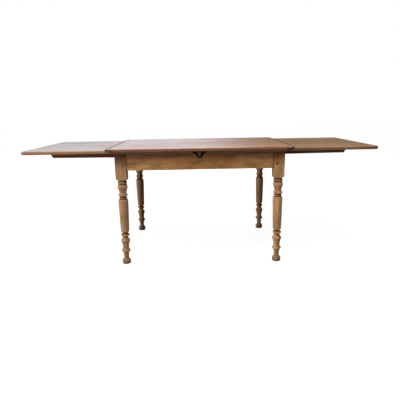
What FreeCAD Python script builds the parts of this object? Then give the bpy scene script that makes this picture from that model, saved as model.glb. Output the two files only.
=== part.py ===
import FreeCAD, Part
import os
import re
import Sketcher

# Extending farmhouse table with two draw leaves.
# Lengths are in millimetres. X runs along the table, Y across it and Z up.
# The origin is on the floor under the middle of the table, and the front is at -Y.

SIZES = {
    # overall
    "top_height": (760, "floor to the upper face of the top"),
    "top_length": (1172, "length of the middle top, lip to lip"),
    "top_width": (900, "width of the middle top"),
    "top_stack": (32, "from the upper edge of the frame to the upper face of the top"),
    "overhang_side": (24, "top's long edge beyond the faces of the legs"),
    "overhang_end": (53, "top's lip beyond the faces of the legs"),
    "running_gap": (0.4, "clearance between parts that slide past each other"),
    "rest_gap": (0.3, "clearance between parts that rest on each other"),
    "joint_gap": (0.1, "clearance of glued and screwed joints"),
    "overrun": (5, "how far a cutting shape runs past the face that it opens"),
    # legs
    "leg_block": (69, "side of the square head of a leg"),
    "leg_head_height": (166, "height of the square head of a leg"),
    "turning_radius": (32, "largest radius of the turned part"),
    "shoulder_height": (15, "height of the turned shoulder of the square head"),
    "shoulder_radius": (33, "radius of the head where its shoulder ends"),
    # aprons
    "apron_height": (104, "height of the four aprons"),
    "apron_thick": (22, "thickness of the aprons"),
    "apron_setback": (3, "step from the leg's face back to the apron's face"),
    "tenon_thick": (10, "thickness of the apron tenons"),
    "tenon_length": (34, "length of the apron tenons"),
    "tenon_shoulder_low": (10, "shoulder under a tenon"),
    "tenon_shoulder_high": (14, "shoulder over a tenon"),
    "draw_peg_radius": (4, "radius of the pegs through the tenons"),
    "draw_peg_length": (30, "length of the pegs through the tenons"),
    "draw_peg_proud": (0.6, "how far a peg stands out of the leg"),
    "draw_peg_inset": (20, "peg axis from the inner face of the leg"),
    "draw_peg_low": (30, "lower peg above the apron's lower edge"),
    "draw_peg_high": (79, "upper peg above the apron's lower edge"),
    # notch in the front and back apron, and the turned peg that hangs in it
    "notch_mouth": (84, "width of the notch at the apron's upper edge"),
    "notch_floor": (29, "width of the notch at its floor"),
    "notch_radius": (6, "radius of the corners of the notch's floor"),
    "notch_depth": (33, "depth of the notch below the apron's upper edge"),
    "notch_swell": (6, "how far the sides of the notch bow into it"),
    "locating_peg_radius": (14, "largest radius of the turned peg"),
    "locating_peg_length": (51, "length of the turned peg with its tenon"),
    "locating_peg_proud": (4, "peg axis in front of the middle of the apron"),
    # middle top
    "top_board_count": (5, "boards glued up side by side in the middle top"),
    "lip_length": (39, "how far the thin lip covers the leaf"),
    "edge_strip_width": (18, "width of the strip under each long edge"),
    "edge_height": (20, "height of the visible edge of the top"),
    "edge_foot_height": (10, "height of the set-back foot of the strip"),
    "edge_foot_setback": (7, "step from the edge back to the strip's foot"),
    "edge_foot_gap": (88, "opening in the strip's foot over the notch"),
    "nosing": (4, "radius of the nosed edges"),
    "peg_socket": (4, "depth of a peg's socket in a board"),
    # leaves
    "leaf_proud": (17, "how far a shut leaf stands out from under the lip"),
    "leaf_thick": (19, "thickness of a leaf"),
    "leaf_meeting_gap": (4, "from the centre board to a shut leaf"),
    "leaf_rise": (4.2, "rise of a leaf over its travel"),
    "leaf_board_count": (4, "boards glued up side by side in a leaf"),
    "leaf_end_width": (50, "width of the cleat across a leaf's outer end"),
    "leaf_corner": (38, "plan radius of a leaf's outer corners"),
    "tongue_thick": (7, "thickness of the tongue that holds the end cleat"),
    "tongue_length": (12, "length of the tongue that holds the end cleat"),
    "tongue_stop": (30, "from the leaf's edge to the end of the tongue"),
    # leaf bearers
    "bearer_thick": (28, "thickness of a bearer across the table"),
    "bearer_height": (36, "height of a bearer at the leaf's inner end"),
    "bearer_reach": (426, "length of the bearer under the leaf"),
    "bearer_bevel": (20, "length of the bevel at the bearer's outer end"),
    "bearer_drop": (1, "step down of the bearer's tail behind the leaf"),
    "bearer_tail_gap": (6, "from the far apron to the bearer's tail when the leaf is shut"),
    "bearer_inset_left": (102, "left leaf's bearers from the long aprons"),
    "bearer_inset_right": (142, "right leaf's bearers from the long aprons"),
    "bearer_side_gap": (1, "clearance beside a bearer in its apron slot"),
    "stop_peg_radius": (5, "radius of the peg that stops a bearer"),
    "stop_peg_drop": (15, "how far the stop peg hangs below its bearer"),
    # centre board
    "centre_board_width": (50, "width of the board between the leaves"),
    "centre_cleat_length": (120, "length of a cleat under the centre board"),
    "centre_cleat_thick": (28, "thickness of a cleat under the centre board"),
    "centre_cleat_height": (38, "height of a cleat under the centre board"),
    "guide_peg_radius": (10, "radius of the pegs that guide the lifting top"),
    "guide_peg_length": (92, "length of the pegs that guide the lifting top"),
    # corner braces
    "brace_reach": (68, "length of a brace along each apron"),
    "brace_height": (40, "height of a brace"),
    # screws
    "screw_radius": (2.5, "radius of a screw's shank"),
    "screw_head_radius": (5, "radius of a screw's countersunk head"),
    "screw_head_height": (3, "height of a screw's countersunk head"),
    "screw_bite": (11, "how far a screw goes into the second piece"),
    "screw_grip": (18, "how much wood a screw holds under its second piece"),
    "screw_edge": (60, "outermost screw from the end of its row"),
    "screw_row_count": (3, "screws through one bearer"),
}

# Places that follow from the sizes above.
RULES = {
    "frame_height": "top_height - top_stack",
    "turning_height": "frame_height - leg_head_height",
    "leg_spacing_x": "top_length - 2 * overhang_end - leg_block",
    "leg_spacing_y": "top_width - 2 * overhang_side - leg_block",
    "leg_x": "leg_spacing_x / 2",
    "leg_y": "leg_spacing_y / 2",
    "head_half": "leg_block / 2",
    "apron_low": "frame_height - apron_height",
    "apron_axis_inset": "head_half - apron_setback - apron_thick / 2",
    "apron_axis_x": "leg_x + apron_axis_inset",
    "apron_axis_y": "leg_y + apron_axis_inset",
    "apron_face_x": "apron_axis_x - apron_thick / 2",
    "apron_face_y": "apron_axis_y - apron_thick / 2",
    "leaf_low": "frame_height + rest_gap + leaf_rise",
    "leaf_high": "leaf_low + leaf_thick",
    "leaf_start": "top_length / 2 - lip_length",
    "leaf_half": "top_width / 2 - edge_strip_width - 2 * running_gap",
    "leaf_slope": "leaf_rise / leaf_travel",
    "leaf_board_width": "2 * leaf_half / leaf_board_count",
    "leaf_travel": "leaf_start - centre_board_width / 2 - leaf_meeting_gap",
    "leaf_length": "lip_length + leaf_travel + leaf_proud",
    "leaf_board_length": "leaf_length - leaf_end_width",
    "leaf_shut": "leaf_start - leaf_travel",
    "under_shut": "leaf_high - leaf_rise + running_gap",
    "under_start": "leaf_high + running_gap",
    "under_end": "under_start + lip_length * leaf_slope",
    "top_board_width": "top_width / top_board_count",
    "edge_low": "top_height - edge_height",
    "slot_low": "leaf_low - bearer_height - (leaf_start - apron_axis_x) * leaf_slope - rest_gap",
    "centre_board_thick": "under_shut - rest_gap - frame_height",
    "locating_peg_y": "apron_axis_y + locating_peg_proud",
    "locating_peg_low": "under_shut + peg_socket - locating_peg_length",
    "guide_peg_low": "under_shut + peg_socket - guide_peg_length",
    "leaf_end_start": "leaf_start + leaf_board_length",
    "tail_end": "leaf_travel - apron_face_x + bearer_tail_gap",
    "bearer_tail": "leaf_start - tail_end",
    "bearer_row_left": "apron_face_y - bearer_inset_left",
    "bearer_row_right": "apron_face_y - bearer_inset_right",
    "guide_peg_row": "top_board_width",
    "tail_fall": "bearer_tail * leaf_slope",
    "bearer_low": "leaf_low - bearer_height",
    "stop_peg_fall": "(leaf_start - stop_peg_x) * leaf_slope",
    "stop_peg_x": "apron_face_x - stop_peg_radius - rest_gap",
    "brace_low": "apron_low + tenon_shoulder_low",
}

# Turned part of a leg, from the head down to the floor. Each row is a share of the
# turning's height, a share of its radius, and a share of the radius for the swell of
# the curve that arrives there: more than zero is a round, less is a hollow.
LEG_SHARES = [
    (1.0000, 0.94, 0.00),
    (0.9960, 0.92, 0.00),
    (0.9810, 0.84, -0.08),
    (0.9575, 0.84, 0.13),
    (0.9490, 0.80, -0.02),
    (0.9440, 0.92, 0.04),
    (0.8950, 0.93, 0.07),
    (0.8490, 0.72, -0.06),
    (0.8390, 0.80, 0.00),
    (0.8340, 0.81, 0.00),
    (0.8130, 0.81, 0.16),
    (0.8040, 0.68, -0.04),
    (0.7990, 0.72, 0.00),
    (0.7840, 0.72, 0.11),
    (0.7770, 0.72, -0.03),
    (0.7590, 0.97, 0.10),
    (0.7120, 0.99, 0.01),
    (0.5340, 0.91, -0.005),
    (0.3970, 0.83, 0.004),
    (0.3830, 0.64, 0.07),
    (0.3670, 0.59, -0.05),
    (0.3630, 0.72, 0.00),
    (0.3410, 0.72, 0.17),
    (0.3300, 0.61, -0.03),
    (0.3110, 0.62, -0.02),
    (0.3000, 0.72, 0.00),
    (0.2910, 0.88, 0.05),
    (0.2740, 0.88, 0.07),
    (0.1960, 0.65, -0.08),
    (0.1740, 0.72, -0.03),
    (0.1480, 0.72, 0.20),
    (0.1400, 0.62, -0.03),
    (0.1320, 0.61, 0.00),
    (0.0680, 0.52, -0.03),
    (0.0600, 0.62, 0.00),
    (0.0420, 0.85, 0.06),
    (0.0120, 0.85, 0.04),
    (0.0000, 0.70, 0.05),
]

# Turned peg that hangs in the apron notch, from its top down: share of its length,
# share of its radius and swell, as in the table above.
PEG_SHARES = [
    (1.000, 0.50, 0.00),
    (0.740, 0.50, 0.00),
    (0.740, 0.95, 0.00),
    (0.420, 0.95, 0.00),
    (0.370, 0.80, 0.05),
    (0.350, 0.58, 0.00),
    (0.240, 0.60, -0.04),
    (0.020, 0.36, 0.24),
    (0.000, 0.16, 0.00),
]

TOLERANCE = 1e-3
ROWS = {"front": -1, "back": 1}
SIDES = {"left": -1, "right": 1}

doc = FreeCAD.newDocument("farmhouse_table")
sheet = doc.addObject("Spreadsheet::Sheet", "Sizes")
for line, (alias, (number, note)) in enumerate(SIZES.items(), start=1):
    sheet.set("A%d" % line, alias)
    sheet.set("B%d" % line, str(number))
    sheet.set("C%d" % line, note)
    sheet.setAlias("B%d" % line, alias)
doc.recompute()

parts = []


def cells(rule):
    """Turn a rule written in size names into an expression on the sheet's cells."""
    def swap(match):
        word = match.group(0)
        if word in RULES:
            return "(" + cells(RULES[word]) + ")"
        return "Sizes." + word if word in SIZES else word
    return re.sub(r"[a-z][a-z_]*[a-z]", swap, str(rule))


def value(rule):
    """Work out a rule from the sheet."""
    return float(sheet.evalExpression(cells(rule)))


def tie(thing, field, rule):
    """Bind a property of an object to the sheet."""
    thing.setExpression(field, cells(rule))


def place(thing, x="0", y="0", z="0", turn=0, axis=(0, 0, 1)):
    """Put an object in its place, turned in degrees about an axis."""
    spin = FreeCAD.Rotation(FreeCAD.Vector(*axis), turn)
    thing.Placement = FreeCAD.Placement(FreeCAD.Vector(value(x), value(y), value(z)), spin)
    for field, rule in (("x", x), ("y", y), ("z", z)):
        tie(thing, "Placement.Base." + field, rule)


def keep(thing, label):
    """Name an object as a sub-part to be written."""
    thing.Label = label
    parts.append(thing)
    return thing


def body(label):
    """Start a sub-part as a body."""
    return keep(doc.addObject("PartDesign::Body", label), label)


def plane(owner, role):
    """Find an origin plane of a body."""
    return next(item for item in owner.Origin.OriginFeatures if item.Role == role)


def outline(owner, role, corners):
    """Draw a closed outline of lines and arcs, each corner tied to the sheet.

    A corner is (x, y) or (x, y, swell), where swell is how far the edge that
    arrives there bows to the right of its way.
    """
    sketch = owner.newObject("Sketcher::SketchObject", owner.Label + "_sketch")
    sketch.AttachmentSupport = [(plane(owner, role), "")]
    sketch.MapMode = "FlatFace"
    spots = [FreeCAD.Vector(value(corner[0]), value(corner[1]), 0) for corner in corners]
    ends = []
    for index, corner in enumerate(corners):
        here, there = spots[index - 1], spots[index]
        swell = value(corner[2]) if len(corner) > 2 else 0
        if abs(swell) < 1e-9:
            edge = sketch.addGeometry(Part.LineSegment(here, there))
        else:
            step = there - here
            side = FreeCAD.Vector(step.y, -step.x, 0).normalize()
            middle = (here + there) * 0.5 + side * swell
            edge = sketch.addGeometry(Part.Arc(here, middle, there))
        first = 1 if (sketch.getPoint(edge, 1) - here).Length < 1e-6 else 2
        ends.append((edge, first, 3 - first))
        if abs(swell) >= 1e-9:
            last = corners[index - 1]
            dx = "((%s) - (%s))" % (corner[0], last[0])
            dy = "((%s) - (%s))" % (corner[1], last[1])
            bow = "abs(%s)" % corner[2]
            radius = "(%s * %s + %s * %s) / (8 * %s) + %s / 2" % (dx, dx, dy, dy, bow, bow)
            fix(sketch, ("Radius", edge), radius)
    for index, corner in enumerate(corners):
        edge, start, end = ends[index]
        after, begin, finish = ends[(index + 1) % len(ends)]
        sketch.addConstraint(Sketcher.Constraint("Coincident", edge, end, after, begin))
        pin(sketch, edge, end, corner[0], corner[1])
    return sketch


def fix(sketch, kind, rule):
    """Add a dimension to a sketch and tie it to the sheet."""
    index = sketch.addConstraint(Sketcher.Constraint(*kind, value(rule)))
    tie(sketch, "Constraints[%d]" % index, rule)


def pin(sketch, edge, end, x, y):
    """Tie a point of a sketch to the sheet, or to an axis where it is zero."""
    for kind, rule, axis in (("DistanceX", x, -2), ("DistanceY", y, -1)):
        if abs(value(rule)) < 1e-9:
            sketch.addConstraint(Sketcher.Constraint("PointOnObject", edge, end, axis))
        else:
            fix(sketch, (kind, -1, 1, edge, end), rule)


def pad(owner, sketch, length):
    """Extrude a sketch evenly to both sides of its plane."""
    feature = owner.newObject("PartDesign::Pad", owner.Label + "_pad")
    feature.Profile = sketch
    feature.Midplane = True
    tie(feature, "Length", length)
    doc.recompute()
    return feature


def cut_through(owner, sketch, length):
    """Cut a sketch evenly to both sides of its plane and check that it cut."""
    before = owner.Shape.Volume
    feature = owner.newObject("PartDesign::Pocket", owner.Label + "_pocket")
    feature.Profile = sketch
    feature.Midplane = True
    tie(feature, "Length", length)
    doc.recompute()
    if not owner.Shape.Volume < before:
        raise ValueError(owner.Label + ": a pocket cut nothing")
    return feature


def spin(owner, sketch, kind="Revolution"):
    """Turn a sketch about its upright axis, to add to the body or to cut it."""
    before = owner.Shape.Volume if owner.Shape.Solids else 0
    feature = owner.newObject("PartDesign::" + kind, owner.Label + "_" + kind.lower())
    feature.Profile = sketch
    feature.ReferenceAxis = (sketch, ["V_Axis"])
    feature.Angle = 360
    doc.recompute()
    if (owner.Shape.Volume > before) is not (kind == "Revolution"):
        raise ValueError(owner.Label + ": a turned feature has the wrong effect")
    return feature


def block(owner, low, size, cut=False):
    """Add a box to a body, or cut one from it."""
    kind = "PartDesign::SubtractiveBox" if cut else "PartDesign::AdditiveBox"
    before = owner.Shape.Volume if owner.Shape.Solids else 0
    feature = owner.newObject(kind, owner.Label + ("_recess" if cut else "_block"))
    for field, rule in zip(("Length", "Width", "Height"), size):
        tie(feature, field, rule)
    place(feature, *low)
    doc.recompute()
    if cut and not owner.Shape.Volume < before:
        raise ValueError(owner.Label + ": a recess cut nothing")
    return feature


DRILL_TURNS = {"x": (90, (0, 1, 0)), "y": (-90, (1, 0, 0)), "z": (0, (0, 0, 1))}


def drill(owner, start, radius, depth, along):
    """Drill a round hole from a point along X, Y or Z and check that it cut."""
    before = owner.Shape.Volume
    feature = owner.newObject("PartDesign::SubtractiveCylinder", owner.Label + "_hole")
    tie(feature, "Radius", radius)
    tie(feature, "Height", depth)
    place(feature, *start, *DRILL_TURNS[along])
    doc.recompute()
    if not owner.Shape.Volume < before:
        raise ValueError(owner.Label + ": a hole cut nothing")
    return feature


def round_edges(owner, radius, wanted):
    """Round the edges of a body whose two ends pass a test together."""
    base = owner.Tip
    names = []
    for number, edge in enumerate(base.Shape.Edges, start=1):
        ends = [vertex.Point for vertex in edge.Vertexes]
        if len(ends) == 2 and wanted(*ends):
            names.append("Edge%d" % number)
    if not names:
        raise ValueError(owner.Label + ": no edge to round")
    feature = owner.newObject("PartDesign::Fillet", owner.Label + "_round")
    feature.Base = (base, names)
    tie(feature, "Radius", radius)
    doc.recompute()
    return feature


def same(number, rule):
    """Say whether a coordinate lies at a place given by a rule."""
    return abs(number - value(rule)) < TOLERANCE


def rod(label, start, radius, length, along):
    """Make a plain round rod from a point along X, Y or Z."""
    thing = doc.addObject("Part::Cylinder", label)
    tie(thing, "Radius", radius)
    tie(thing, "Height", length)
    place(thing, *start, *DRILL_TURNS[along])
    return thing


def group(label, things):
    """Keep several separate solids as one sub-part."""
    compound = doc.addObject("Part::Compound", label)
    compound.Links = things
    return keep(compound, label)


def screw(label, x, y, seat):
    """Make a countersunk screw that points up into a piece that starts at the seat."""
    z = "(%s - screw_grip)" % seat
    head = doc.addObject("Part::Cone", label + "_head")
    tie(head, "Radius1", "screw_head_radius")
    tie(head, "Radius2", "screw_radius")
    tie(head, "Height", "screw_head_height")
    shank = doc.addObject("Part::Cylinder", label + "_shank")
    tie(shank, "Radius", "screw_radius")
    tie(shank, "Height", "screw_grip + screw_bite")
    place(head, x, y, z)
    place(shank, x, y, z)
    joined = doc.addObject("Part::Fuse", label)
    joined.Base = head
    joined.Tool = shank
    return joined


def turned_profile(shares, length, radius):
    """Give the half outline of a turning, from its axis at the top to its axis below."""
    corners = [("0", "%s * %s" % (shares[0][0], length))]
    for height_share, radius_share, swell_share in shares:
        corner = ("%s * %s" % (radius_share, radius), "%s * %s" % (height_share, length))
        if swell_share:
            corner += ("-(%s) * %s" % (swell_share, radius),)
        corners.append(corner)
    corners.append(("0", "%s * %s" % (shares[-1][0], length)))
    return corners


def leg(label, side, row, turn):
    """Make a leg: square head, turned shaft, two mortises and four peg holes."""
    piece = body(label)
    head_height = "(frame_height - turning_height)"
    block(piece, ("-head_half", "-head_half", "turning_height"),
          ("leg_block", "leg_block", head_height))
    # the lathe rounds the corners of the head where the turning starts
    spin(piece, outline(piece, "XZ_Plane", [
        ("shoulder_radius", "turning_height - overrun"),
        ("leg_block", "turning_height - overrun"),
        ("leg_block", "turning_height + shoulder_height + overrun"),
        ("0.74 * leg_block", "turning_height + shoulder_height + overrun"),
        ("0.72 * leg_block", "turning_height + shoulder_height"),
        ("shoulder_radius", "turning_height", "-0.2 * shoulder_height"),
    ]), "Groove")
    spin(piece, outline(piece, "XZ_Plane",
                        turned_profile(LEG_SHARES, "turning_height", "turning_radius")))
    mortise_low = "apron_low + tenon_shoulder_low - joint_gap"
    mortise_height = "apron_height - tenon_shoulder_low - tenon_shoulder_high + 2 * joint_gap"
    mortise_start = "head_half - tenon_length - joint_gap"
    mortise_side = "-apron_axis_inset - tenon_thick / 2 - joint_gap"
    mortise_thick = "tenon_thick + 2 * joint_gap"
    mortise_depth = "tenon_length + joint_gap + overrun"
    block(piece, (mortise_start, mortise_side, mortise_low),
          (mortise_depth, mortise_thick, mortise_height), cut=True)
    block(piece, (mortise_side, mortise_start, mortise_low),
          (mortise_thick, mortise_depth, mortise_height), cut=True)
    for rise in ("draw_peg_low", "draw_peg_high"):
        height = "apron_low + " + rise
        inset = "head_half - draw_peg_inset"
        bore = "draw_peg_radius + joint_gap"
        depth = "draw_peg_length + overrun"
        drill(piece, (inset, "-head_half - overrun", height), bore, depth, "y")
        drill(piece, ("-head_half - overrun", inset, height), bore, depth, "x")
    place(piece, "%d * leg_x" % side, "%d * leg_y" % row, "0", turn)
    return piece


def apron_blank(label, length):
    """Make an apron's board along X with its two tenons, bored for the pegs."""
    piece = body(label)
    span = "(%s - leg_block)" % length
    reach = "(%s + 2 * tenon_length)" % span
    block(piece, ("-%s / 2" % span, "-apron_thick / 2", "apron_low"),
          (span, "apron_thick", "apron_height"))
    block(piece, ("-%s / 2" % reach, "-tenon_thick / 2", "apron_low + tenon_shoulder_low"),
          (reach, "tenon_thick", "apron_height - tenon_shoulder_low - tenon_shoulder_high"))
    for end in (-1, 1):
        for rise in ("draw_peg_low", "draw_peg_high"):
            x = "%d * (%s / 2 + draw_peg_inset)" % (end, span)
            drill(piece, (x, "-apron_thick", "apron_low + " + rise),
                  "draw_peg_radius + joint_gap", "2 * apron_thick", "y")
    return piece


def long_apron(label, row):
    """Make the front or back apron with the notch for the locating peg."""
    piece = apron_blank(label, "leg_spacing_x")
    mouth = "(notch_mouth / 2)"
    wall = "(notch_floor / 2)"
    floor = "(frame_height - notch_depth)"
    swell = "notch_radius * (1 - cos(45))"
    cut_through(piece, outline(piece, "XZ_Plane", [
        ("-" + mouth, "frame_height + overrun"),
        ("-" + mouth, "frame_height"),
        ("-" + wall, floor + " + notch_radius", "-notch_swell"),
        ("-%s + notch_radius" % wall, floor, swell),
        (wall + " - notch_radius", floor),
        (wall, floor + " + notch_radius", swell),
        (mouth, "frame_height", "-notch_swell"),
        (mouth, "frame_height + overrun"),
    ]), "2 * apron_thick")
    place(piece, "0", "%d * apron_axis_y" % row)
    return piece


def short_apron(label, side, bearer_row):
    """Make an end apron with two open slots for the bearers of its leaf."""
    piece = apron_blank(label, "leg_spacing_y")
    width = "bearer_thick + 2 * bearer_side_gap"
    for end in (-1, 1):
        middle = "%d * %s" % (end, bearer_row)
        block(piece, (middle + " - (%s) / 2" % width, "-apron_thick", "slot_low"),
              (width, "2 * apron_thick", "frame_height - slot_low + overrun"), cut=True)
    place(piece, "%d * apron_axis_x" % side, "0", "0", 90 * side)
    return piece


def draw_pegs(label):
    """Make the pegs that hold the sixteen places where a tenon is pinned."""
    pegs = []
    inset = "(head_half - draw_peg_inset)"
    for row in ROWS.values():
        for side in SIDES.values():
            for rise in ("draw_peg_low", "draw_peg_high"):
                height = "apron_low + " + rise
                outer_y = "%d * (leg_y + head_half + draw_peg_proud)" % row
                outer_x = "%d * (leg_x + head_half + draw_peg_proud)" % side
                front_y = outer_y if row < 0 else outer_y + " - draw_peg_length"
                front_x = outer_x if side < 0 else outer_x + " - draw_peg_length"
                name = "%s_%d" % (label, len(pegs))
                pegs.append(rod(name, ("%d * (leg_x - %s)" % (side, inset), front_y, height),
                                "draw_peg_radius", "draw_peg_length", "y"))
                name = "%s_%d" % (label, len(pegs))
                pegs.append(rod(name, (front_x, "%d * (leg_y - %s)" % (row, inset), height),
                                "draw_peg_radius", "draw_peg_length", "x"))
    return group(label, pegs)


def corner_brace(label, side, row, turn):
    """Make the brace glued behind a leg between its two aprons."""
    piece = body(label)
    face = "-(apron_axis_inset - apron_thick / 2)"
    far = "(head_half + brace_reach)"
    pad(piece, outline(piece, "XY_Plane", [
        ("head_half", face),
        (far, face),
        (face, far),
        (face, "head_half"),
        ("head_half", "head_half"),
    ]), "brace_height")
    place(piece, "%d * leg_x" % side, "%d * leg_y" % row, "brace_low + brace_height / 2", turn)
    return piece


def centre_board(label):
    """Make the board that lies between the shut leaves, bored for pegs and screws."""
    piece = body(label)
    length = "(2 * apron_face_y - 2 * joint_gap)"
    block(piece, ("-centre_board_width / 2", "-%s / 2" % length, "frame_height"),
          ("centre_board_width", length, "centre_board_thick"))
    for row in ROWS.values():
        drill(piece, ("0", "%d * guide_peg_row" % row, "frame_height - overrun"),
              "guide_peg_radius + running_gap", "centre_board_thick + 2 * overrun", "z")
        for side in SIDES.values():
            x, y = centre_screw_place(side, row)
            screw_pilot(piece, x, y, "frame_height")
    place(piece)
    return piece


def centre_screw_place(side, row):
    """Give the place of a screw that holds the centre board on its cleat."""
    return ("%d * centre_board_width / 4" % side,
            "%d * (apron_face_y - centre_cleat_thick / 2)" % row)


def centre_cleat(label, row):
    """Make the cleat that carries one end of the centre board."""
    piece = body(label)
    low = "(frame_height - centre_cleat_height)"
    block(piece, ("-centre_cleat_length / 2", "-centre_cleat_thick / 2", low),
          ("centre_cleat_length", "centre_cleat_thick", "centre_cleat_height"))
    for side in SIDES.values():
        screw_hole(piece, centre_screw_place(side, row)[0], "0", low, "frame_height")
    place(piece, "0", "%d * (apron_face_y - centre_cleat_thick / 2)" % row)
    return piece


def screw_hole(piece, x, y, low, seat):
    """Bore a screw's way up through a piece whose second piece starts at the seat."""
    head = "(%s - screw_grip)" % seat
    drill(piece, (x, y, head), "screw_radius + joint_gap", "screw_grip + overrun", "z")
    drill(piece, (x, y, low + " - overrun"), "screw_head_radius + joint_gap",
          "%s + screw_head_height + joint_gap - %s + overrun" % (head, low), "z")


def screw_pilot(piece, x, y, seat):
    """Bore the hole for a screw's end into the second piece."""
    drill(piece, (x, y, seat + " - overrun"), "screw_radius + joint_gap",
          "screw_bite + joint_gap + overrun", "z")


def centre_screws(label):
    """Make the four screws that hold the centre board."""
    screws = []
    for row in ROWS.values():
        for side in SIDES.values():
            x, y = centre_screw_place(side, row)
            screws.append(screw("%s_%d" % (label, len(screws)), x, y, "frame_height"))
    return group(label, screws)


def top_board(label, index):
    """Make one board of the middle top, hollowed below so that the leaves clear it."""
    piece = body(label)
    end = "(top_length / 2)"
    pad(piece, outline(piece, "XZ_Plane", [
        (end, "top_height"),
        ("-" + end, "top_height"),
        ("-" + end, "under_end"),
        ("-leaf_shut", "under_shut"),
        ("leaf_shut", "under_shut"),
        (end, "under_end"),
    ]), "top_board_width")
    last = SIZES["top_board_count"][0] - 1
    row = {0: -1, last: 1}.get(index, 0)
    outer = "%d * top_board_width / 2" % row

    def nosed(start, stop):
        if not (same(start.z, "top_height") and same(stop.z, "top_height")):
            return False
        across = any(same(start.x, place_x) and same(stop.x, place_x) for place_x in (end, "-" + end))
        along = row and same(start.y, outer) and same(stop.y, outer)
        return across or along

    round_edges(piece, "nosing", nosed)
    y = "(%s * top_board_width)" % (index - last / 2)
    guide_socket(piece, y)
    if row:
        drill(piece, ("0", "%d * locating_peg_y - %s" % (row, y), "under_shut - overrun"),
              "0.5 * locating_peg_radius + joint_gap", "overrun + peg_socket + joint_gap", "z")
    place(piece, "0", y)
    return piece


def guide_socket(piece, y):
    """Bore the sockets of both guide pegs where they fall inside a board."""
    for row in ROWS.values():
        local = "%d * guide_peg_row - %s" % (row, y)
        if abs(value(local)) < value("top_board_width / 2 - guide_peg_radius"):
            drill(piece, ("0", local, "under_shut - overrun"), "guide_peg_radius + joint_gap",
                  "overrun + peg_socket + joint_gap", "z")


def edge_strip(label, row):
    """Make the strip that thickens a long edge of the top, with its set-back foot."""
    piece = body(label)
    pad(piece, outline(piece, "XZ_Plane", [
        ("-leaf_start", "edge_low"),
        ("leaf_start", "edge_low"),
        ("leaf_start", "under_start"),
        ("leaf_shut", "under_shut"),
        ("-leaf_shut", "under_shut"),
        ("-leaf_start", "under_start"),
    ]), "edge_strip_width")
    outer = "-edge_strip_width / 2"
    round_edges(piece, "nosing", lambda start, stop: all(
        same(end.z, "edge_low") and same(end.y, outer) for end in (start, stop)))
    foot_low = "edge_low - edge_foot_height"
    block(piece, ("-leaf_start", outer + " + edge_foot_setback", foot_low),
          ("2 * leaf_start", "edge_strip_width - edge_foot_setback", "edge_foot_height"))
    block(piece, ("-edge_foot_gap / 2", "-edge_strip_width", foot_low + " - overrun"),
          ("edge_foot_gap", "2 * edge_strip_width", "edge_foot_height + overrun"), cut=True)
    place(piece, "0", "%d * (top_width / 2 - edge_strip_width / 2)" % row, "0", 0 if row < 0 else 180)
    return piece


def locating_peg(label, row):
    """Turn the peg that hangs from the top in the notch of a long apron."""
    piece = body(label)
    spin(piece, outline(piece, "XZ_Plane", turned_profile(
        PEG_SHARES, "locating_peg_length", "locating_peg_radius")))
    place(piece, "0", "%d * locating_peg_y" % row, "locating_peg_low")
    return piece


def guide_peg(label, row):
    """Make a peg that keeps the top in line with the frame as it lifts."""
    return keep(rod(label, ("0", "%d * guide_peg_row" % row, "guide_peg_low"),
                    "guide_peg_radius", "guide_peg_length", "z"), label)


def leaf_board(label, side, index, bearer_row):
    """Make one board of a leaf with the tongue that enters the end cleat."""
    piece = body(label)
    last = SIZES["leaf_board_count"][0] - 1
    row = {0: -1, last: 1}.get(index, 0)
    half = "(leaf_board_width / 2)"
    block(piece, ("leaf_start", "-" + half, "leaf_low"),
          ("leaf_board_length", "leaf_board_width", "leaf_thick"))
    if row:
        round_edges(piece, "nosing", lambda start, stop: all(
            same(end.y, "%d * %s" % (row, half)) for end in (start, stop))
            and not same(start.x, stop.x))
    tongue_low = "leaf_low + leaf_thick / 2 - tongue_thick / 2"
    tongue_start = "-" + half + (" + tongue_stop" if row < 0 else "")
    tongue_width = "leaf_board_width" + (" - tongue_stop" if row else "")
    block(piece, ("leaf_end_start", tongue_start, tongue_low),
          ("tongue_length", tongue_width, "tongue_thick"))
    y = "(%s * leaf_board_width)" % (index - last / 2)
    if row:
        for x in screw_places():
            screw_pilot(piece, x, "%d * %s - %s" % (row, bearer_row, y), "leaf_low")
    place_on_side(piece, side, y)
    return piece


def screw_places():
    """Give the places of the screws along a bearer."""
    count = SIZES["screw_row_count"][0]
    span = "(bearer_reach - bearer_bevel - 2 * screw_edge)"
    return ["leaf_start + screw_edge + %s * %s" % (index / (count - 1), span)
            for index in range(count)]


def place_on_side(piece, side, y="0", z="0"):
    """Put a piece that is drawn for the right leaf on its own side."""
    place(piece, "0", "%d * %s" % (side, y), z, 0 if side > 0 else 180)


def leaf_end(label, side):
    """Make the cleat across a leaf's outer end, with its rounded corners."""
    piece = body(label)
    end = "(leaf_end_start + leaf_end_width)"
    turn = "leaf_corner * (1 - cos(45))"
    pad(piece, outline(piece, "XY_Plane", [
        ("leaf_end_start", "-leaf_half"),
        (end + " - leaf_corner", "-leaf_half"),
        (end, "-leaf_half + leaf_corner", turn),
        (end, "leaf_half - leaf_corner"),
        (end + " - leaf_corner", "leaf_half", turn),
        ("leaf_end_start", "leaf_half"),
    ]), "leaf_thick")
    round_edges(piece, "nosing", lambda start, stop: same(start.z, str(stop.z)) and not (
        same(start.x, "leaf_end_start") and same(stop.x, "leaf_end_start")))
    block(piece, ("leaf_end_start - overrun", "-leaf_half + tongue_stop - joint_gap",
                  "-tongue_thick / 2 - joint_gap"),
          ("overrun + tongue_length + joint_gap", "2 * (leaf_half - tongue_stop + joint_gap)",
           "tongue_thick + 2 * joint_gap"), cut=True)
    place_on_side(piece, side, "0", "leaf_low + leaf_thick / 2")
    return piece


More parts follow.
